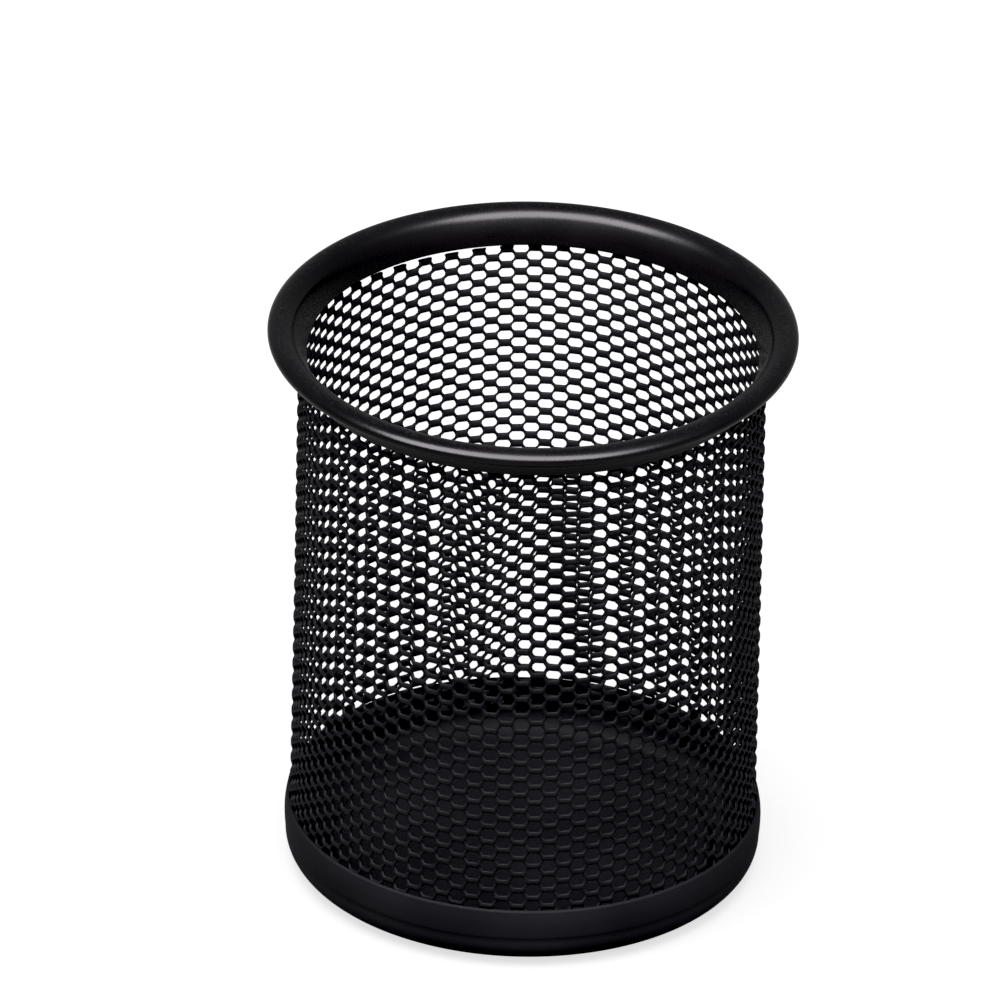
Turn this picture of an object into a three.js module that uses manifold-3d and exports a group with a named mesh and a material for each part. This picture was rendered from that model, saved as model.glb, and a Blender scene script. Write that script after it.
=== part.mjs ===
// Round desk cup of steel mesh: an expanded-metal sheet rolled into a tube, a folded steel strip
// flared outwards into its lip, a pressed steel pan as its base, and four small pads under the pan.
// Millimetres, +Z up. The origin is on the standing surface, on the cup's axis.

import * as THREE from 'three';
import { mergeVertices } from 'three/addons/utils/BufferGeometryUtils.js';
import Module from 'manifold-3d';

// Driving dimensions
const HEIGHT = 101.6;
const LIP_RADIUS = 44.75;
const WALL_RADIUS = 39.5;
const MESH_THICKNESS = 0.8;
const FIT_GAP = 0.1;

// Rim: a strip folded double over the mesh's top edge. It flares out at a steady slope, then rolls
// over the top in two arcs to the lip's rounded edge. Its directions are in degrees, from outwards
// (0) through up (90) to inwards (180).
const RIM_BOTTOM = 95.2;
const INNER_SKIN_BOTTOM = 95.9;
const RIM_SHEET = 0.5;
const FLARE_SLOPE = 65;
const GROOVE_TOP = 97.3;
const SKIRT_TOP = 97.6;
const CROWN_INNER_RADIUS = 3;
const CROWN_OUTER_RADIUS = 2.4;
const CROWN_OUTER_DIRECTION = 40;
const LIP_EDGE_RADIUS = 1;

// Base pan: a soft bead round its side, a rounded corner and a raised floor inside a standing ring
const PAN_TOP = 10.9;
const PAN_SHEET = 0.4;
const BEAD_HEIGHT = 8.2;
const BEAD_BULGE = 0.2;
const CORNER_RADIUS = 4.2;
const STANDING_RING_BOTTOM = 0.4;
const STANDING_RING_WIDTH = 3;
const FLOOR_STEP = 1.2;

// Mesh tube: its lower edge flares a little into the pan, its upper edge flares with the rim, and
// its ends overlap in a welded lap
const MESH_BOTTOM = 6.2;
const MESH_TOP = 97.2;
const FLARE_START = 15.5;
const LOWER_FLARE = 0.15;
const LAP_ANGLE = THREE.MathUtils.degToRad(12);
const LAP_CENTRE_ANGLE = THREE.MathUtils.degToRad(-18);
const LAP_THICKNESS = 0.7;
const LAP_CLEARANCE = 0.2;

// Pads
const PAD_COUNT = 4;
const PAD_RADIUS = 5;
const PAD_CIRCLE_RADIUS = 25;
const PAD_CHAMFER = 0.3;

// Facets
const AROUND = 64;
const PAD_AROUND = 24;
const ARC_STEPS = 5;

const wasm = await Module();
wasm.setup();

const blackPaint = () => new THREE.MeshStandardMaterial({ color: 0x1b1b1e, roughness: 0.42, metalness: 0.5 });
const blackFoam = () => new THREE.MeshStandardMaterial({ color: 0x141414, roughness: 0.95, metalness: 0 });

const at = (r, z) => new THREE.Vector2(r, z);

// Points along an arc in the (radius, height) plane, with angles in degrees from the outward direction.
function arc(centreR, centreZ, radiusR, radiusZ, fromDegrees, toDegrees) {
  const points = [];
  for (let i = 0; i <= ARC_STEPS; i += 1) {
    const angle = THREE.MathUtils.degToRad(fromDegrees + ((toDegrees - fromDegrees) * i) / ARC_STEPS);
    points.push(at(centreR + radiusR * Math.cos(angle), centreZ + radiusZ * Math.sin(angle)));
  }
  return points;
}

// A solid of revolution about +Z. The outline runs anticlockwise in (radius, height).
function revolve(outline, segments = AROUND) {
  const geometry = new THREE.LatheGeometry(outline, segments);
  geometry.rotateX(Math.PI / 2);
  return geometry;
}

// The same for an outline that stays off the axis: it closes on its own first point.
function revolveRing(outline) {
  return revolve([...outline, outline[0].clone()]);
}

function toManifold(geometry) {
  const bare = geometry.clone();
  bare.deleteAttribute('normal');
  bare.deleteAttribute('uv');
  const merged = mergeVertices(bare);
  const vertProperties = new Float32Array(merged.attributes.position.array);
  const triVerts = new Uint32Array(merged.index.array);
  return new wasm.Manifold(new wasm.Mesh({ numProp: 3, vertProperties, triVerts }));
}

function toGeometry(manifold) {
  const { vertProperties, triVerts } = manifold.getMesh();
  const geometry = new THREE.BufferGeometry();
  geometry.setAttribute('position', new THREE.BufferAttribute(vertProperties, 3));
  geometry.setIndex(new THREE.BufferAttribute(triVerts, 1));
  geometry.computeVertexNormals();
  return geometry;
}

// How far the rim's flare has gone outwards at a height above the inner skin's lower edge.
function flareAt(z) {
  return (z - INNER_SKIN_BOTTOM) / Math.tan(THREE.MathUtils.degToRad(FLARE_SLOPE));
}

// The mesh sheet as a plain tube of its overall thickness.
function meshTube() {
  const innerRadius = WALL_RADIUS - MESH_THICKNESS;
  return revolveRing([
    at(innerRadius + LOWER_FLARE, MESH_BOTTOM),
    at(WALL_RADIUS + LOWER_FLARE, MESH_BOTTOM),
    at(WALL_RADIUS + LOWER_FLARE, PAN_TOP),
    at(WALL_RADIUS, FLARE_START),
    at(WALL_RADIUS, INNER_SKIN_BOTTOM),
    at(WALL_RADIUS + flareAt(MESH_TOP), MESH_TOP),
    at(innerRadius + flareAt(MESH_TOP), MESH_TOP),
    at(innerRadius, INNER_SKIN_BOTTOM),
    at(innerRadius, FLARE_START),
    at(innerRadius + LOWER_FLARE, PAN_TOP),
  ]);
}

// The second layer of mesh where the sheet's ends overlap, on the inside, between the rim and the hem.
function lapStrip() {
  const outerRadius = WALL_RADIUS - MESH_THICKNESS / 2;
  const innerRadius = WALL_RADIUS - MESH_THICKNESS - LAP_THICKNESS;
  const from = LAP_CENTRE_ANGLE - LAP_ANGLE / 2;
  const to = LAP_CENTRE_ANGLE + LAP_ANGLE / 2;
  const section = new THREE.Shape();
  section.absarc(0, 0, outerRadius, from, to, false);
  section.absarc(0, 0, innerRadius, to, from, true);
  section.closePath();
  const bottom = MESH_BOTTOM + LAP_CLEARANCE;
  const depth = RIM_BOTTOM - LAP_CLEARANCE - bottom;
  const geometry = new THREE.ExtrudeGeometry(section, {
    depth,
    bevelEnabled: false,
    curveSegments: ARC_STEPS,
  });
  geometry.translate(0, 0, bottom);
  return geometry;
}

function meshWall() {
  return toGeometry(toManifold(meshTube()).add(toManifold(lapStrip())));
}

// The folded strip: two skins that hold the mesh in a groove, then one rounded lip.
function topRim() {
  const grooveInner = WALL_RADIUS - MESH_THICKNESS - FIT_GAP;
  const grooveOuter = WALL_RADIUS + FIT_GAP;
  const outsideRadius = grooveOuter + RIM_SHEET;
  const outerDirection = THREE.MathUtils.degToRad(CROWN_OUTER_DIRECTION);
  const crownStep = CROWN_OUTER_RADIUS - LIP_EDGE_RADIUS;
  const edgeR = LIP_RADIUS - LIP_EDGE_RADIUS;
  const crownR = edgeR - crownStep * Math.cos(outerDirection);
  const outerZ = HEIGHT - CROWN_OUTER_RADIUS;
  const innerZ = HEIGHT - CROWN_INNER_RADIUS;
  const edgeZ = outerZ + crownStep * Math.sin(outerDirection);
  const edge = arc(edgeR, edgeZ, LIP_EDGE_RADIUS, LIP_EDGE_RADIUS, -90, CROWN_OUTER_DIRECTION);
  const outer = arc(crownR, outerZ, CROWN_OUTER_RADIUS, CROWN_OUTER_RADIUS, CROWN_OUTER_DIRECTION, 90);
  const inner = arc(crownR, innerZ, CROWN_INNER_RADIUS, CROWN_INNER_RADIUS, 90, 90 + FLARE_SLOPE);
  const flareEnd = inner[inner.length - 1];
  return revolveRing([
    at(flareEnd.x - flareAt(flareEnd.y), INNER_SKIN_BOTTOM),
    at(grooveInner, INNER_SKIN_BOTTOM),
    at(grooveInner + flareAt(GROOVE_TOP), GROOVE_TOP),
    at(grooveOuter + flareAt(GROOVE_TOP), GROOVE_TOP),
    at(grooveOuter, INNER_SKIN_BOTTOM),
    at(grooveOuter, RIM_BOTTOM),
    at(outsideRadius, RIM_BOTTOM),
    at(outsideRadius, INNER_SKIN_BOTTOM),
    at(outsideRadius + flareAt(SKIRT_TOP), SKIRT_TOP),
    ...edge,
    ...outer.slice(1),
    ...inner.slice(1),
  ]);
}

// One face of the pan's sheet, from the axis out and up: the underside at inset 0, the inside at
// inset PAN_SHEET.
function panSkin(inset) {
  const sideRadius = WALL_RADIUS + LOWER_FLARE + FIT_GAP + PAN_SHEET;
  const ringRadius = sideRadius - CORNER_RADIUS;
  const ringInnerRadius = ringRadius - STANDING_RING_WIDTH;
  const ringZ = STANDING_RING_BOTTOM + inset;
  const cornerZ = STANDING_RING_BOTTOM + CORNER_RADIUS;
  const cornerRadius = CORNER_RADIUS - inset;
  const bead = arc(sideRadius - inset, BEAD_HEIGHT, BEAD_BULGE, PAN_TOP - BEAD_HEIGHT, -90, 90);
  return [
    at(0, ringZ + FLOOR_STEP),
    at(ringInnerRadius - FLOOR_STEP, ringZ + FLOOR_STEP),
    at(ringInnerRadius, ringZ),
    ...arc(ringRadius, cornerZ, cornerRadius, cornerRadius, -90, 0),
    ...bead,
  ];
}

function basePan() {
  return revolve([...panSkin(0), ...panSkin(PAN_SHEET).reverse()]);
}

function footPad() {
  const top = STANDING_RING_BOTTOM + FLOOR_STEP - FIT_GAP;
  const outline = [
    at(0, 0),
    at(PAD_RADIUS - PAD_CHAMFER, 0),
    at(PAD_RADIUS, PAD_CHAMFER),
    at(PAD_RADIUS, top),
    at(0, top),
  ];
  return revolve(outline, PAD_AROUND);
}

function named(name, geometry, material) {
  const mesh = new THREE.Mesh(geometry, material);
  mesh.name = name;
  return mesh;
}

const cup = new THREE.Group();
cup.add(named('mesh_wall', meshWall(), blackPaint()));
cup.add(named('top_rim', topRim(), blackPaint()));
cup.add(named('base_pan', basePan(), blackPaint()));
for (let i = 0; i < PAD_COUNT; i += 1) {
  const angle = ((i + 0.5) / PAD_COUNT) * 2 * Math.PI;
  const pad = named(`foot_pad_${i + 1}`, footPad(), blackFoam());
  pad.position.set(PAD_CIRCLE_RADIUS * Math.cos(angle), PAD_CIRCLE_RADIUS * Math.sin(angle), 0);
  cup.add(pad);
}

export default cup;
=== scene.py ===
"""Looks of the round steel-mesh pen cup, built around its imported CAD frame.

The wall is a real expanded-metal sheet rolled into a tube, the rim and the pan are fine lathed
sheet metal, and the pads are foam discs. Lengths are millimetres in the code and metres in Blender.
"""

import math

import bmesh
import bpy
from mathutils import Matrix, Vector, noise


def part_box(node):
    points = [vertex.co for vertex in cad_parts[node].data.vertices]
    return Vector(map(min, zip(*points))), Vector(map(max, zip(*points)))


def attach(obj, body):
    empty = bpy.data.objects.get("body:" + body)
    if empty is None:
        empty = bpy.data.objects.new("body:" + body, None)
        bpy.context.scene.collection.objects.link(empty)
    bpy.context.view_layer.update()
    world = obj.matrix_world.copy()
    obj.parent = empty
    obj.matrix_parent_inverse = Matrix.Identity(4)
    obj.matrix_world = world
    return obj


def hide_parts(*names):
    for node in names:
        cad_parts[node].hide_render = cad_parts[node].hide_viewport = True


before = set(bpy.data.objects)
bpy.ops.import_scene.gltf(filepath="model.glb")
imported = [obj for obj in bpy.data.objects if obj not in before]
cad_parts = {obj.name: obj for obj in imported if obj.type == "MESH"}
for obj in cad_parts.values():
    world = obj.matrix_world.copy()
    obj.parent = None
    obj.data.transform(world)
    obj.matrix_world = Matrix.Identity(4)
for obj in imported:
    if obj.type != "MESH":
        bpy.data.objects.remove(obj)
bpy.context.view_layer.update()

MM = 0.001
TAU = 2 * math.pi
scene = bpy.context.scene


def box_mm(node):
    low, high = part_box(node)
    return Vector(low) / MM, Vector(high) / MM


def smooth(value, start, end):
    """0 before start, 1 after end, and a smooth step between."""
    t = min(1.0, max(0.0, (value - start) / (end - start)))
    return t * t * (3 - 2 * t)


# ------------------------------------------------------------------ sizes, from the CAD frame

RIM_LOW, RIM_HIGH = box_mm("top_rim")
PAN_LOW, PAN_HIGH = box_mm("base_pan")
HEIGHT = RIM_HIGH.z
LIP_RADIUS = RIM_HIGH.x
RIM_BOTTOM = RIM_LOW.z
PAN_TOP = PAN_HIGH.z
STANDING_RING_BOTTOM = PAN_LOW.z

# Sheets and the gaps between them, as in the CAD
MESH_THICKNESS = 0.8
FIT_GAP = 0.1
RIM_SHEET = 0.5
PAN_SHEET = 0.4
BEAD_BULGE = 0.2
LOWER_FLARE = 0.15
WALL_RADIUS = PAN_HIGH.x - BEAD_BULGE - PAN_SHEET - FIT_GAP - LOWER_FLARE

# Rim section, with its directions in degrees from outwards (0) through up (90) to inwards (180)
INNER_SKIN_BOTTOM = 95.9
FLARE_SLOPE = 65
GROOVE_TOP = 97.3
SKIRT_TOP = 97.6
CROWN_INNER_RADIUS = 3.0
CROWN_OUTER_RADIUS = 2.4
CROWN_OUTER_DIRECTION = 40
LIP_EDGE_RADIUS = 1.0

# Pan section. Its top edge is pinched against the mesh.
EDGE_PINCH = 0.2
BEAD_HEIGHT = 8.2
CORNER_RADIUS = 4.2
STANDING_RING_WIDTH = 3.0
FLOOR_STEP = 1.2

# Lap of the mesh sheet. Its inner layer joins the outer one again between two heights, in the rim.
LAP_EDGE = math.radians(-12)
LAP_WIDTH = math.radians(12)
LAP_MIDDLE = LAP_EDGE - LAP_WIDTH / 2
LAP_DEPTH = 0.75
LAP_CLOSING = (RIM_BOTTOM - 3, RIM_BOTTOM + 0.5)

# The mesh flares a little into the pan below this height
FLARE_START = 15.5


def turn_between(angle, other):
    """The turn from one angle to another the short way round, from minus to plus half a turn."""
    return (angle - other + TAU / 2) % TAU - TAU / 2


# ------------------------------------------------------------------ mesh building

def new_object(name, mesh, node):
    """A piece that rides on the cup's one body and stands in for a CAD node."""
    piece = bpy.data.objects.new(name, mesh)
    scene.collection.objects.link(piece)
    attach(piece, "root")
    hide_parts(node)
    return piece


def add_floats(mesh, name, values):
    layer = mesh.attributes.new(name, "FLOAT", "POINT")
    layer.data.foreach_set("value", values)


def around_axis(radius, angle, z):
    """A point in metres from its radius and height in millimetres."""
    return radius * math.cos(angle) * MM, radius * math.sin(angle) * MM, z * MM


def on_circle(angle, size, z):
    """A point that goes round a circle with the angle, for noise that joins up after one turn."""
    return Vector((math.cos(angle) * size, math.sin(angle) * size, z))


def arc(centre_r, centre_z, radius_r, radius_z, start, end, steps):
    """(radius, height) points along an arc, with its ends in degrees from the outward direction."""
    points = []
    for i in range(steps + 1):
        angle = math.radians(start + (end - start) * i / steps)
        points.append((centre_r + radius_r * math.cos(angle), centre_z + radius_z * math.sin(angle)))
    return points


def curve(start, control, end, steps):
    """The inner points of a soft bend from start to end, leaning towards control."""
    points = []
    for i in range(1, steps):
        t = i / steps
        weights = ((1 - t) ** 2, 2 * t * (1 - t), t * t)
        points.append(tuple(sum(w * p[k] for w, p in zip(weights, (start, control, end))) for k in (0, 1)))
    return points


def flare_at(z):
    """How far the rim's flare has gone outwards at a height."""
    return max(0.0, z - INNER_SKIN_BOTTOM) / math.tan(math.radians(FLARE_SLOPE))


def lathe(name, outline, angles, closed, shape):
    """Turns an outline of (radius, height) points round +Z. An open outline starts and ends on the
    axis. shape(r, z, angle) gives each point's own radius, height and wear."""
    verts, faces, wear, rings = [], [], [], []
    for r, z in outline:
        if r == 0:
            rings.append([len(verts)] * len(angles))
            verts.append((0, 0, z * MM))
            wear.append(0.0)
            continue
        ring = []
        for angle in angles:
            radius, height, worn = shape(r, z, angle)
            ring.append(len(verts))
            verts.append(around_axis(radius, angle, height))
            wear.append(worn)
        rings.append(ring)
    pairs = list(zip(rings, rings[1:]))
    if closed:
        pairs.append((rings[-1], rings[0]))
    count = len(angles)
    for lower, upper in pairs:
        for i in range(count):
            j = (i + 1) % count
            corners = [lower[i], lower[j], upper[j], upper[i]]
            faces.append([v for k, v in enumerate(corners) if v != corners[k - 1]])
    mesh = bpy.data.meshes.new(name)
    mesh.from_pydata(verts, [], faces)
    mesh.validate()
    add_floats(mesh, "wear", wear)
    mesh.polygons.foreach_set("use_smooth", [True] * len(mesh.polygons))
    build = bmesh.new()
    build.from_mesh(mesh)
    bmesh.ops.recalc_face_normals(build, faces=build.faces)
    build.to_mesh(mesh)
    build.free()
    return mesh


# ------------------------------------------------------------------ expanded-metal wall

# The openings lie in staggered rows. A whole column is one opening and one bond. Columns and rows
# are counted in halves from the opening at this angle and height.
COLUMN_ANGLE = math.radians(7.3053)
ROW_PITCH = 3.0888
LATTICE_ANGLE = math.radians(-57.66)
LATTICE_HEIGHT = 54.77
FIRST_COLUMN, LAST_COLUMN = -89, 12
FIRST_ROW, LAST_ROW = -30, 26

# Round the cup the rows grow apart and climb, per radian. They bow on the left side: the bow comes
# and goes between two pairs of angles in degrees, and it is a part of a column and of a row.
ROW_GROWTH = 0.005
ROW_CLIMB = 0.0627
BOW_START, BOW_END = (75, 130), (240, 290)
BOW_SHIFT, BOW_DROP = 0.2, 0.4

STRAND_THICKNESS = 0.46
BOND_TILT = 0.285
EDGE_ROUND = 0.09
RIDGE_PULL = 0.8
SHEET_UNEVENNESS = 0.06
SHEET_WAVES, SHEET_WAVES_UP = 1.3, 0.03

# A quarter of an opening's outline, from its right tip up
TIP_X = 1.32
SHOULDER_X, SHOULDER_Y = 1.16, 0.43
TOP_X, TOP_Y = 0.74, 0.94

# Spot welds along the lap
WELD_SPACING = 11.0
WELD_RADIUS = 1.7
WELD_DEPTH = 0.22


def left_bow(angle):
    """How far the rows bow along the cup's left side, where the sheet was rolled unevenly."""
    turned = math.degrees(-angle)
    return smooth(turned, *BOW_START) * (1 - smooth(turned, *BOW_END))


def lattice_place(column, row):
    """Angle and height of an opening's middle."""
    angle = LATTICE_ANGLE + column * COLUMN_ANGLE / 2
    turned = angle - LATTICE_ANGLE
    z = LATTICE_HEIGHT + ROW_PITCH * (1 + ROW_GROWTH * turned) * row / 2 + ROW_CLIMB * turned
    bow = left_bow(angle)
    return angle - BOW_SHIFT * COLUMN_ANGLE * bow, z - BOW_DROP * ROW_PITCH * bow


def sheet_radius(angle, z):
    """Radius of the sheet's middle. angle runs from the lap's outer edge backwards past one turn,
    and the last stretch steps in behind the first."""
    turned = LAP_EDGE - angle
    radius = WALL_RADIUS - MESH_THICKNESS / 2
    radius += LOWER_FLARE * (1 - smooth(z, PAN_TOP, FLARE_START)) + flare_at(z)
    step_in = smooth(turned, TAU - LAP_WIDTH / 2, TAU)
    step_in *= 1 - smooth(z, *LAP_CLOSING)
    radius -= LAP_DEPTH * step_in
    across = turn_between(angle, LAP_MIDDLE)
    if abs(across) < LAP_WIDTH:
        along = (z - PAN_TOP + WELD_SPACING / 3) % WELD_SPACING - WELD_SPACING / 2
        distance = math.hypot(across * WALL_RADIUS, along)
        pull = math.exp(-((distance / WELD_RADIUS) ** 2))
        radius += WELD_DEPTH * pull * (1 if turned > math.pi else -1)
    return radius + SHEET_UNEVENNESS * noise.noise(on_circle(angle, SHEET_WAVES, z * SHEET_WAVES_UP))


# Corners of an opening, anticlockwise from its right tip: the row of the bond that each belongs to,
# counted from the opening's own row, and where it lies from the opening's middle.
HOLE = [
    (0, TIP_X, 0.0),
    (0, SHOULDER_X, SHOULDER_Y),
    (1, TOP_X, TOP_Y),
    (1, -TOP_X, TOP_Y),
    (0, -SHOULDER_X, SHOULDER_Y),
    (0, -TIP_X, 0.0),
    (0, -SHOULDER_X, -SHOULDER_Y),
    (-1, -TOP_X, -TOP_Y),
    (-1, TOP_X, -TOP_Y),
    (0, SHOULDER_X, -SHOULDER_Y),
]
RIGHT_TIP, UPPER_RIGHT, TOP_RIGHT, TOP_LEFT, UPPER_LEFT = range(5)
LEFT_TIP, LOWER_LEFT, BOTTOM_LEFT, BOTTOM_RIGHT, LOWER_RIGHT = range(5, 10)
FRONT, MIDDLE, BACK = 1, 0, -1


def neighbours(column, row):
    """The places right, left, above and below a place in the lattice."""
    return (column + 1, row), (column - 1, row), (column, row + 1), (column, row - 1)


class Sheet:
    """The expanded sheet, built opening by opening. An opening has a front edge, a ridge at
    mid-thickness that stands a little into it, and a back edge. Bonds join four openings and
    strands join two. A bond's upper edge leans outwards, as the slitting press leaves it.
    The UV map is the sheet unrolled, with its back above its front."""

    UV_SCALE = 1 / 262.0  # from millimetres
    UV_BACK_SHIFT = 100.0
    UV_MARGIN = 2.0

    def __init__(self):
        self.verts, self.wear, self.faces, self.uvs = [], [], [], []
        self.corners = {}

    def corner(self, hole, number, side):
        """Index and unrolled place of one corner of an opening, made when first asked for."""
        key = (hole, number, side)
        if key not in self.corners:
            angle, z = lattice_place(*hole)
            bond_row, x, y = HOLE[number]
            depth = BOND_TILT * (y - bond_row * ROW_PITCH / 2) + side * STRAND_THICKNESS / 2
            grow = 1 + (0 if side == MIDDLE else EDGE_ROUND / math.hypot(x, y))
            pull = RIDGE_PULL if side == MIDDLE else 1.0
            at_angle, at_z = angle + x * grow / WALL_RADIUS, z + y * grow
            radius = sheet_radius(at_angle, at_z) + depth
            place = (angle + x * grow * pull / WALL_RADIUS, z + y * grow * pull)
            self.corners[key] = (len(self.verts), place)
            self.verts.append(around_axis(radius, at_angle, at_z))
            self.wear.append(1.0 if side == FRONT else 0.0)
        return self.corners[key]

    def face(self, corners, side):
        """Adds a face from corners that run anticlockwise as seen from outside the cup."""
        if side == BACK:
            corners = corners[::-1]
        self.faces.append([index for index, _ in corners])
        shift = self.UV_BACK_SHIFT if side == BACK else 0.0
        for _, (angle, z) in corners:
            x = (LAP_EDGE - angle) * WALL_RADIUS + self.UV_MARGIN
            self.uvs += [x * self.UV_SCALE, (z - self.UV_MARGIN + shift) * self.UV_SCALE]

    def both(self, *corners):
        """Adds a face on the front and its twin on the back."""
        for side in (FRONT, BACK):
            self.face([self.corner(hole, number, side) for hole, number in corners], side)

    def ring(self, hole, number):
        """The opening's wall beside the edge that starts at a corner."""
        following = (number + 1) % len(HOLE)
        for side in (FRONT, BACK):
            edge = [self.corner(hole, n, side) for n in (number, following)]
            ridge = [self.corner(hole, n, MIDDLE) for n in (following, number)]
            self.face(edge + ridge, side)

    def bond(self, column, row):
        """The flat where four openings meet: a middle piece, and three triangles at each end."""
        right, left, above, below = neighbours(column, row)
        top_left, top_right = (above, BOTTOM_LEFT), (above, BOTTOM_RIGHT)
        bottom_left, bottom_right = (below, TOP_LEFT), (below, TOP_RIGHT)
        self.both(bottom_left, bottom_right, top_right, top_left)
        self.both((right, LEFT_TIP), top_right, bottom_right)
        self.both((right, LEFT_TIP), bottom_right, (right, LOWER_LEFT))
        self.both((right, LEFT_TIP), (right, UPPER_LEFT), top_right)
        self.both((left, RIGHT_TIP), bottom_left, top_left)
        self.both((left, RIGHT_TIP), (left, LOWER_RIGHT), bottom_left)
        self.both((left, RIGHT_TIP), top_left, (left, UPPER_RIGHT))

    def strand(self, hole, climb):
        """The strand to the next opening on the upper right (climb 1) or lower right (climb -1)."""
        other = (hole[0] + 1, hole[1] + climb)
        if climb > 0:
            self.both((hole, UPPER_RIGHT), (other, BOTTOM_LEFT), (other, LOWER_LEFT), (hole, TOP_RIGHT))
        else:
            self.both((hole, BOTTOM_RIGHT), (other, UPPER_LEFT), (other, TOP_LEFT), (hole, LOWER_RIGHT))

    def cap(self, first, second):
        """Closes the cut end of a bond, where the sheet stops."""
        sides = (FRONT, MIDDLE, BACK)
        around_cut = [self.corner(*first, side) for side in sides]
        around_cut += [self.corner(*second, side) for side in reversed(sides)]
        self.face(around_cut, FRONT)


def mesh_sheet():
    """The whole wall: every opening's bonds and strands, the walls of the openings, and the cut
    ends of the bonds along the sheet's edges."""
    sheet = Sheet()
    holes = [
        (column, row)
        for column in range(FIRST_COLUMN, LAST_COLUMN + 1)
        for row in range(FIRST_ROW, LAST_ROW + 1)
        if (column + row) % 2 == 0
    ]
    bonds, strands, rims = {}, {}, {}  # used as ordered sets
    for c, r in holes:
        bonds.update(dict.fromkeys(neighbours(c, r)))
        strands.update(dict.fromkeys([((c, r), 1), ((c, r), -1), ((c - 1, r + 1), -1), ((c - 1, r - 1), 1)]))
    for bond in bonds:
        sheet.bond(*bond)
        rims.update(dict.fromkeys(neighbours(*bond)))
    for hole, climb in strands:
        sheet.strand(hole, climb)
    for hole in rims:
        c, r = hole
        right, left, above, below = neighbours(c, r)
        beside = [
            right, (hole, 1), above, ((c - 1, r + 1), -1), left,
            left, ((c - 1, r - 1), 1), below, (hole, -1), right,
        ]
        for number, neighbour in enumerate(beside):
            if neighbour in bonds or neighbour in strands:
                sheet.ring(hole, number)
    for bond in bonds:
        right, left, above, below = neighbours(*bond)
        if (above, -1) not in strands:
            sheet.cap((above, BOTTOM_RIGHT), (right, UPPER_LEFT))
        if (below, 1) not in strands:
            sheet.cap((right, LOWER_LEFT), (below, TOP_RIGHT))
        if (left, -1) not in strands:
            sheet.cap((below, TOP_LEFT), (left, LOWER_RIGHT))
        if (left, 1) not in strands:
            sheet.cap((left, UPPER_RIGHT), (above, BOTTOM_LEFT))
    mesh = bpy.data.meshes.new("mesh_sheet")
    mesh.from_pydata(sheet.verts, [], sheet.faces)
    layer = mesh.uv_layers.new(name="OFBake")
    layer.data.foreach_set("uv", sheet.uvs)
    add_floats(mesh, "wear", sheet.wear)
    mesh.polygons.foreach_set("use_smooth", [True] * len(mesh.polygons))
    mesh.update()
    return mesh


# ------------------------------------------------------------------ rim and pan

STEPS_AROUND = 288
STEPS_AROUND_PAD = 64
JOINT_STEPS = [math.radians(step) for step in (-0.5, -0.16, -0.05, 0.05, 0.16, 0.5)]
JOINT_WIDTH = math.radians(0.12)
JOINT_DEPTH = 0.035
OUT_OF_ROUND = 0.05
OUT_OF_FLAT = 0.04
RIM_WAVES = 1.7
PAN_WAVES, PAN_WAVES_UP = 1.5, 0.1


def around(count):
    return [TAU * i / count for i in range(count)]


def around_rim():
    """Angles round the rim, with a few close together at the joint of its strip."""
    near = [LAP_MIDDLE % TAU + step for step in JOINT_STEPS]
    even = [a for a in around(STEPS_AROUND) if min(abs(a - n) for n in near) > JOINT_STEPS[-1]]
    return sorted(even + near)


def rim_outline():
    """The folded strip's section: over the crown, down the inner skin, up and down the groove that
    holds the mesh, up the outer skin, and round the lip's edge."""
    groove_inner = WALL_RADIUS - MESH_THICKNESS - FIT_GAP
    groove_outer = WALL_RADIUS + FIT_GAP
    outside = groove_outer + RIM_SHEET
    end = RIM_SHEET / 2
    direction = math.radians(CROWN_OUTER_DIRECTION)
    crown_step = CROWN_OUTER_RADIUS - LIP_EDGE_RADIUS
    edge_r = LIP_RADIUS - LIP_EDGE_RADIUS
    crown_r = edge_r - crown_step * math.cos(direction)
    outer_z, inner_z = HEIGHT - CROWN_OUTER_RADIUS, HEIGHT - CROWN_INNER_RADIUS
    edge_z = outer_z + crown_step * math.sin(direction)
    inner = arc(crown_r, inner_z, CROWN_INNER_RADIUS, CROWN_INNER_RADIUS, 90, 90 + FLARE_SLOPE, 14)
    inside = inner[-1][0] - flare_at(inner[-1][1])
    skirt_top = (outside + flare_at(SKIRT_TOP), SKIRT_TOP)
    under = (edge_r, edge_z - LIP_EDGE_RADIUS)
    under_bend = (outside + flare_at(under[1]), under[1])
    outline = arc(crown_r, outer_z, CROWN_OUTER_RADIUS, CROWN_OUTER_RADIUS, CROWN_OUTER_DIRECTION, 90, 12)
    outline += inner[1:]
    outline += arc(inside + end, INNER_SKIN_BOTTOM + end, end, end, 180, 360, 6)
    outline += [(groove_inner + flare_at(GROOVE_TOP), GROOVE_TOP)]
    outline += [(groove_outer + flare_at(GROOVE_TOP), GROOVE_TOP), (groove_outer, INNER_SKIN_BOTTOM)]
    outline += arc(groove_outer + end, RIM_BOTTOM + end, end, end, 180, 360, 6)
    outline += [(outside, INNER_SKIN_BOTTOM), skirt_top]
    outline += curve(skirt_top, under_bend, under, 8)
    outline += arc(edge_r, edge_z, LIP_EDGE_RADIUS, LIP_EDGE_RADIUS, -90, CROWN_OUTER_DIRECTION, 14)[:-1]
    return outline


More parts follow.
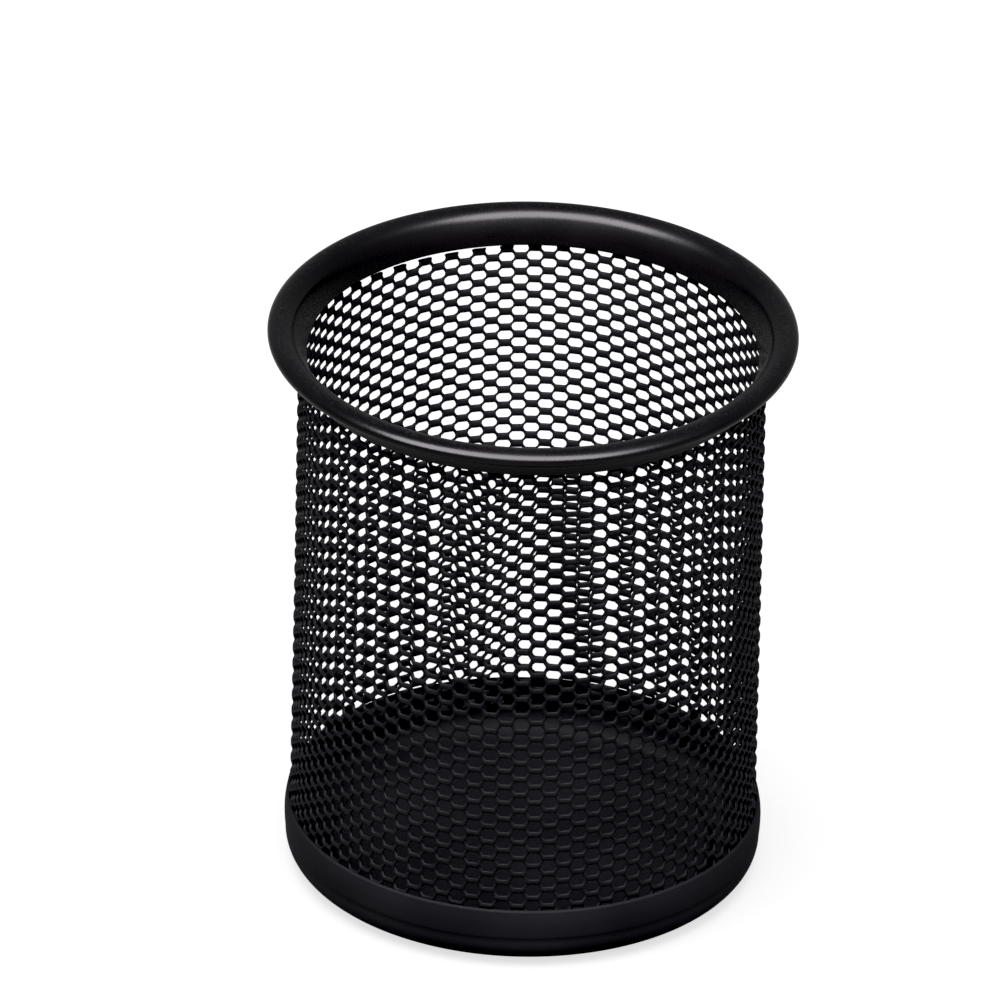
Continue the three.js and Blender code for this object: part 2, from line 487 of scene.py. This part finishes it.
def rim_shape(r, z, angle):
    """The rim isn't perfectly round or flat, and its strip's two ends meet in a filled joint."""
    wander = on_circle(angle, RIM_WAVES, 0.4)
    out = OUT_OF_ROUND * noise.noise(wander)
    up = OUT_OF_FLAT * noise.noise(wander + Vector((0, 0, 7)))
    lip = smooth(z, RIM_BOTTOM + 1, HEIGHT - 2)
    away = turn_between(angle, LAP_MIDDLE)
    groove = JOINT_DEPTH * math.exp(-((away / JOINT_WIDTH) ** 2))
    outer = 1 if r > WALL_RADIUS - MESH_THICKNESS / 2 + flare_at(z) else -1
    crest = smooth(z, HEIGHT - 0.5, HEIGHT)
    worn = max(crest, 1 - smooth(z, RIM_BOTTOM, RIM_BOTTOM + 0.35))
    return r + out * lip - outer * groove * (1 - crest), z + up * lip - groove * crest, worn


PAN_SIDE = WALL_RADIUS + LOWER_FLARE + FIT_GAP + PAN_SHEET


def pan_skin(inset):
    """One face of the pan's sheet, from the axis out and up: the underside at inset 0, the inside
    at inset PAN_SHEET."""
    ring = PAN_SIDE - CORNER_RADIUS
    ring_inner = ring - STANDING_RING_WIDTH
    ring_z = STANDING_RING_BOTTOM + inset
    corner_z = STANDING_RING_BOTTOM + CORNER_RADIUS
    corner = CORNER_RADIUS - inset
    floor_z = ring_z + FLOOR_STEP
    step_in = ring_inner - FLOOR_STEP
    points = [(0.0, floor_z)]
    points += [(step_in * t, floor_z) for t in (0.12, 0.3, 0.5, 0.7, 0.85, 0.95)]
    for t in (i / 6 for i in range(7)):
        points.append((step_in + FLOOR_STEP * t, floor_z - FLOOR_STEP * smooth(t, 0, 1)))
    points += [(ring_inner + STANDING_RING_WIDTH * t, ring_z) for t in (0.33, 0.67)]
    points += arc(ring, corner_z, corner, corner, -90, 0, 12)
    points += arc(PAN_SIDE - inset, BEAD_HEIGHT, BEAD_BULGE, PAN_TOP - BEAD_HEIGHT, -90, 90, 12)[:-1]
    return points


def pan_outline():
    """The pressed sheet's section: the underside, the rounded top edge, and the inside."""
    half = PAN_SHEET / 2
    edge = arc(PAN_SIDE - half, PAN_TOP - half, half, half, 0, 180, 6)
    return pan_skin(0) + edge + pan_skin(PAN_SHEET)[::-1]


def pan_shape(r, z, angle):
    """The pan's side isn't perfectly round, and its top edge is pinched in. Its standing ring and
    its top edge are worn."""
    side = smooth(r, WALL_RADIUS - 8, WALL_RADIUS)
    out = OUT_OF_ROUND * noise.noise(on_circle(angle, PAN_WAVES, PAN_WAVES_UP * z)) * side
    out -= EDGE_PINCH * smooth(z, BEAD_HEIGHT, PAN_TOP)
    ring = smooth(r, WALL_RADIUS - 9, WALL_RADIUS - 5) * (1 - smooth(z, 0.5, 1.4))
    edge = smooth(z, PAN_TOP - 0.4, PAN_TOP)
    return r + out, z, max(ring, edge)


PAD_EDGE_ROUND = 0.35
PAD_TOP_ROUND = 0.12
PAD_WAIST = 0.04
PAD_UNEVENNESS = 0.05


def pad_mesh(node):
    """A foam disc: its lower edge is soft, its side draws in a little and isn't quite even."""
    low, high = box_mm(node)
    centre = (low + high) / 2
    radius = (high.x - low.x) / 2
    bottom, top = low.z, high.z
    points = [(0.0, bottom)]
    points += [(radius * t, bottom) for t in (0.2, 0.4, 0.6, 0.8)]
    points += arc(radius - PAD_EDGE_ROUND, bottom + PAD_EDGE_ROUND, PAD_EDGE_ROUND, PAD_EDGE_ROUND, -90, 0, 5)
    points += [(radius - PAD_WAIST, (bottom + top) / 2)]
    points += arc(radius - PAD_TOP_ROUND, top - PAD_TOP_ROUND, PAD_TOP_ROUND, PAD_TOP_ROUND, 0, 90, 3)
    points += [(radius * t, top) for t in (0.6, 0.3)] + [(0.0, top)]

    def shape(r, z, angle):
        bumpy = noise.noise(on_circle(angle, r, z) + centre)
        side = smooth(r, radius - 1, radius)
        return r + PAD_UNEVENNESS * bumpy * side, z, 0.0

    mesh = lathe(node + "_foam", points, around(STEPS_AROUND_PAD), False, shape)
    mesh.transform(Matrix.Translation((centre.x * MM, centre.y * MM, 0)))
    return mesh


# ------------------------------------------------------------------ materials

class Nodes:
    """A short way to write a node tree. Its textures are scaled in millimetres."""

    def __init__(self, name):
        self.material = bpy.data.materials.new(name)
        self.material.use_nodes = True
        self.tree = self.material.node_tree
        self.shader = self.tree.nodes["Principled BSDF"]
        place = self.add("ShaderNodeTexCoord")
        scale = self.add("ShaderNodeMapping")
        scale.inputs["Scale"].default_value = (1 / MM, 1 / MM, 1 / MM)
        self.link(place.outputs["Object"], scale.inputs["Vector"])
        self.place = scale.outputs["Vector"]

    def add(self, kind, **values):
        node = self.tree.nodes.new(kind)
        for key, value in values.items():
            setattr(node, key, value)
        return node

    def link(self, source, target):
        self.tree.links.new(source, target)

    def noise(self, scale, detail=2.0, roughness=0.5):
        """Soft noise, with its scale in repeats per millimetre."""
        node = self.add("ShaderNodeTexNoise")
        node.inputs["Scale"].default_value = scale
        node.inputs["Detail"].default_value = detail
        node.inputs["Roughness"].default_value = roughness
        self.link(self.place, node.inputs["Vector"])
        return node.outputs["Fac"]

    def span(self, source, low, high, out_low, out_high):
        """Maps low to out_low and high to out_high, and goes no further."""
        node = self.add("ShaderNodeMapRange")
        for name, value in zip(("From Min", "From Max", "To Min", "To Max"), (low, high, out_low, out_high)):
            node.inputs[name].default_value = value
        self.link(source, node.inputs["Value"])
        return node.outputs["Result"]

    def maths(self, operation, a, b):
        node = self.add("ShaderNodeMath", operation=operation)
        for socket, value in zip(node.inputs, (a, b)):
            if isinstance(value, (int, float)):
                socket.default_value = value
            else:
                self.link(value, socket)
        return node.outputs["Value"]

    def mix(self, factor, a, b):
        node = self.add("ShaderNodeMix", data_type="RGBA")
        self.link(factor, node.inputs["Factor"])
        for socket, value in ((node.inputs[6], a), (node.inputs[7], b)):
            if isinstance(value, tuple):
                socket.default_value = (*value, 1.0)
            else:
                self.link(value, socket)
        return node.outputs[2]

    def bump(self, height, strength, distance, after=None):
        node = self.add("ShaderNodeBump")
        node.inputs["Strength"].default_value = strength
        node.inputs["Distance"].default_value = distance * MM
        self.link(height, node.inputs["Height"])
        if after is not None:
            self.link(after, node.inputs["Normal"])
        return node.outputs["Normal"]

    def attribute(self, name):
        return self.add("ShaderNodeAttribute", attribute_name=name).outputs["Fac"]

    def finish(self, colour, roughness, normal, specular):
        self.link(colour, self.shader.inputs["Base Color"])
        self.link(roughness, self.shader.inputs["Roughness"])
        self.link(normal, self.shader.inputs["Normal"])
        self.shader.inputs["Specular IOR Level"].default_value = specular
        return self.material


def powder_coat(name, dark, light, gloss, specular, peel_depth, wear_amount):
    """Black powder coat: orange peel, a fine grain, uneven gloss, dust and rubbed edges."""
    dust_colour, rubbed_colour = (0.02, 0.02, 0.021), (0.035, 0.034, 0.036)
    n = Nodes(name)
    patches = n.noise(0.045, 3.0)
    peel = n.noise(1.15, 2.0, 0.4)
    grain = n.noise(6.5, 3.0, 0.6)
    specks = n.noise(2.6, 4.0, 0.7)
    colour = n.mix(n.span(patches, 0.35, 0.65, 0.0, 1.0), dark, light)
    dust = n.span(specks, 0.66, 0.74, 0.0, 0.3)
    colour = n.mix(dust, colour, dust_colour)
    rubs = n.span(n.noise(2.1, 4.0, 0.65), 0.52, 0.7, 0.0, wear_amount)
    rubbed = n.maths("MULTIPLY", n.attribute("wear"), rubs)
    colour = n.mix(rubbed, colour, rubbed_colour)
    rough = n.span(patches, 0.3, 0.7, gloss - 0.05, gloss + 0.06)
    rough = n.maths("ADD", rough, n.span(grain, 0.3, 0.7, -0.04, 0.04))
    rough = n.maths("SUBTRACT", rough, n.maths("MULTIPLY", rubbed, 0.15))
    normal = n.bump(peel, 0.5, peel_depth)
    normal = n.bump(grain, 0.25, peel_depth * 0.3, normal)
    return n.finish(colour, rough, normal, specular)


def foam_rubber(name):
    """Closed-cell foam: fine pores, with painted shade in their dents, matt, mottled."""
    dark, light, pore_shade_colour = (0.016, 0.016, 0.017), (0.034, 0.033, 0.033), (0.006, 0.006, 0.006)
    n = Nodes(name)
    cells = n.add("ShaderNodeTexVoronoi")
    cells.inputs["Scale"].default_value = 4.5
    n.link(n.place, cells.inputs["Vector"])
    pore_dents_and_shade = n.span(cells.outputs["Distance"], 0.0, 0.55, 0.0, 1.0)
    mottle = n.noise(0.5, 4.0, 0.6)
    colour = n.mix(n.span(mottle, 0.35, 0.7, 0.0, 1.0), dark, light)
    # Painted shade: the foam is darkened in the dents of its pores.
    colour = n.mix(n.span(pore_dents_and_shade, 0.0, 0.4, 0.7, 0.0), colour, pore_shade_colour)
    rough = n.span(mottle, 0.3, 0.7, 0.82, 0.96)
    normal = n.bump(pore_dents_and_shade, 0.6, 0.12)
    return n.finish(colour, rough, normal, 0.25)


# ------------------------------------------------------------------ the pieces

# Painted light and shade: the mesh, the rim and the pan wear one black powder coat, and each part gets its
# own tone to offset how the light falls on it.
wall = new_object("wall_expanded_mesh", mesh_sheet(), "mesh_wall")
wall.data.materials.append(powder_coat(
    "mesh_coat", dark=(0.0055, 0.0055, 0.0061), light=(0.0075, 0.0075, 0.0083),
    gloss=0.46, specular=0.1, peel_depth=0.02, wear_amount=0.2,
))

rim_mesh = lathe("rim_strip", rim_outline(), around_rim(), True, rim_shape)
rim = new_object("rim_folded_strip", rim_mesh, "top_rim")
# Painted shade: the rim's coat is much darker than the mesh's and the pan's, to take back the strong key
# light that falls on the rim.
rim.data.materials.append(powder_coat(
    "rim_coat", dark=(0.0014, 0.0013, 0.0014), light=(0.0022, 0.0020, 0.0022),
    gloss=0.27, specular=0.3, peel_depth=0.02, wear_amount=0.2,
))

pan_mesh = lathe("pan_pressed", pan_outline(), around(STEPS_AROUND), False, pan_shape)
pan = new_object("pan_pressed_steel", pan_mesh, "base_pan")
# Painted light: the pan's coat is lighter than the mesh's, to lift its inside floor, which lies in shade.
pan.data.materials.append(powder_coat(
    "pan_coat", dark=(0.0070, 0.0070, 0.0077), light=(0.0096, 0.0096, 0.0106),
    gloss=0.6, specular=0.06, peel_depth=0.03, wear_amount=0.2,
))

foam = foam_rubber("pad_foam")
pieces = [wall, rim, pan]
for number in range(1, 5):
    node = f"foot_pad_{number}"
    pad = new_object(f"foam_disc_{number}", pad_mesh(node), node)
    pad.data.materials.append(foam)
    pieces.append(pad)


# ------------------------------------------------------------------ floor, lights and camera

# In metres and light strengths. The floor lies a hair below the pads.
FLOOR_REACH = 6.0
FLOOR_DEPTH = 0.05 * MM
FLOOR_GLOW = 0.68
WORLD_LIGHT = 0.25


def studio_paper():
    """White paper, lit a little by itself so that it comes out near white all over."""
    n = Nodes("studio_paper")
    colour = n.mix(n.noise(0.01, 2.0), (0.9, 0.9, 0.9), (0.93, 0.93, 0.93))
    rough = n.span(n.noise(0.3), 0.3, 0.7, 0.75, 0.85)
    n.shader.inputs["Emission Color"].default_value = (1, 1, 1, 1)
    n.shader.inputs["Emission Strength"].default_value = FLOOR_GLOW
    return n.finish(colour, rough, n.bump(n.noise(2.0), 0.05, 0.02), 0.1)


floor_mesh = bpy.data.meshes.new("studio_floor")
floor_corners = [
    (x * FLOOR_REACH, y * FLOOR_REACH, -FLOOR_DEPTH) for x, y in ((-1, -1), (1, -1), (1, 1), (-1, 1))
]
floor_mesh.from_pydata(floor_corners, [], [(0, 1, 2, 3)])
floor_mesh.materials.append(studio_paper())
floor = bpy.data.objects.new("studio_floor", floor_mesh)
scene.collection.objects.link(floor)

# Light below this level comes out black, for the strong contrast of a studio picture
BLACK_POINT = 0.009
view = scene.view_settings
view.view_transform = "Standard"
view.use_curve_mapping = True
view.curve_mapping.black_level = (BLACK_POINT, BLACK_POINT, BLACK_POINT)
view.curve_mapping.update()
scene.world = bpy.data.worlds.new("studio")
scene.world.use_nodes = True
background = scene.world.node_tree.nodes["Background"]
background.inputs["Color"].default_value = (1.0, 1.0, 1.02, 1.0)
background.inputs["Strength"].default_value = WORLD_LIGHT


def light_only(light, receivers):
    """Lets an object light these objects and no others."""
    group = bpy.data.collections.new(light.name + "_lights")
    for receiver in receivers:
        group.objects.link(receiver)
    light.light_linking.receiver_collection = group


def softbox(name, direction, distance, width, length, power, colour, receivers):
    """A soft rectangular light that hangs in a direction from the cup's top and faces it."""
    light = bpy.data.lights.new(name, "AREA")
    light.shape = "RECTANGLE"
    light.size = width
    light.size_y = length
    light.energy = power
    light.color = colour
    lamp = bpy.data.objects.new(name, light)
    towards = Vector(direction).normalized()
    lamp.location = towards * distance + Vector((0, 0, HEIGHT * MM))
    lamp.rotation_mode = "QUATERNION"
    lamp.rotation_quaternion = towards.to_track_quat("Z", "Y")
    scene.collection.objects.link(lamp)
    light_only(lamp, receivers)


softbox(
    "key_overhead", direction=(-0.12, -0.5, 0.86), distance=1.2, width=2.0, length=0.85,
    power=80, colour=(0.98, 0.95, 1.0), receivers=pieces,
)
softbox(
    "floor_light", direction=(-0.1, -0.2, 1.0), distance=1.5, width=1.5, length=1.5,
    power=9, colour=(1.0, 1.0, 1.0), receivers=[floor],
)
light_only(floor, [floor])

# Camera: a long lens, almost parallel, looking down at the cup from the front, turned a little
# about its own axis. FIELD is how much of the cup's plane the frame's width takes in.
ELEVATION = math.radians(29.41)
ROLL = math.radians(1.25)
DISTANCE = 6237.0
SENSOR = 36.0
FIELD = 168.9
AIM_HEIGHT = 49.43
AIM_LEFT, AIM_UP = 4.63, 16.15

back = Vector((0, -math.cos(ELEVATION), math.sin(ELEVATION)))
level = Vector((1, 0, 0))
upright = back.cross(level)
right = level * math.cos(ROLL) + upright * math.sin(ROLL)
up = upright * math.cos(ROLL) - level * math.sin(ROLL)
aim = Vector((0, 0, AIM_HEIGHT)) - right * AIM_LEFT + up * AIM_UP
camera_data = bpy.data.cameras.new("photo_camera")
camera_data.sensor_width = SENSOR
camera_data.lens = DISTANCE * SENSOR / FIELD
camera_data.clip_start, camera_data.clip_end = 0.1, 50
camera = bpy.data.objects.new("photo_camera", camera_data)
scene.collection.objects.link(camera)
facing = Matrix((right, up, back)).transposed().to_4x4()
camera.matrix_world = Matrix.Translation((aim + back * DISTANCE) * MM) @ facing
scene.camera = camera
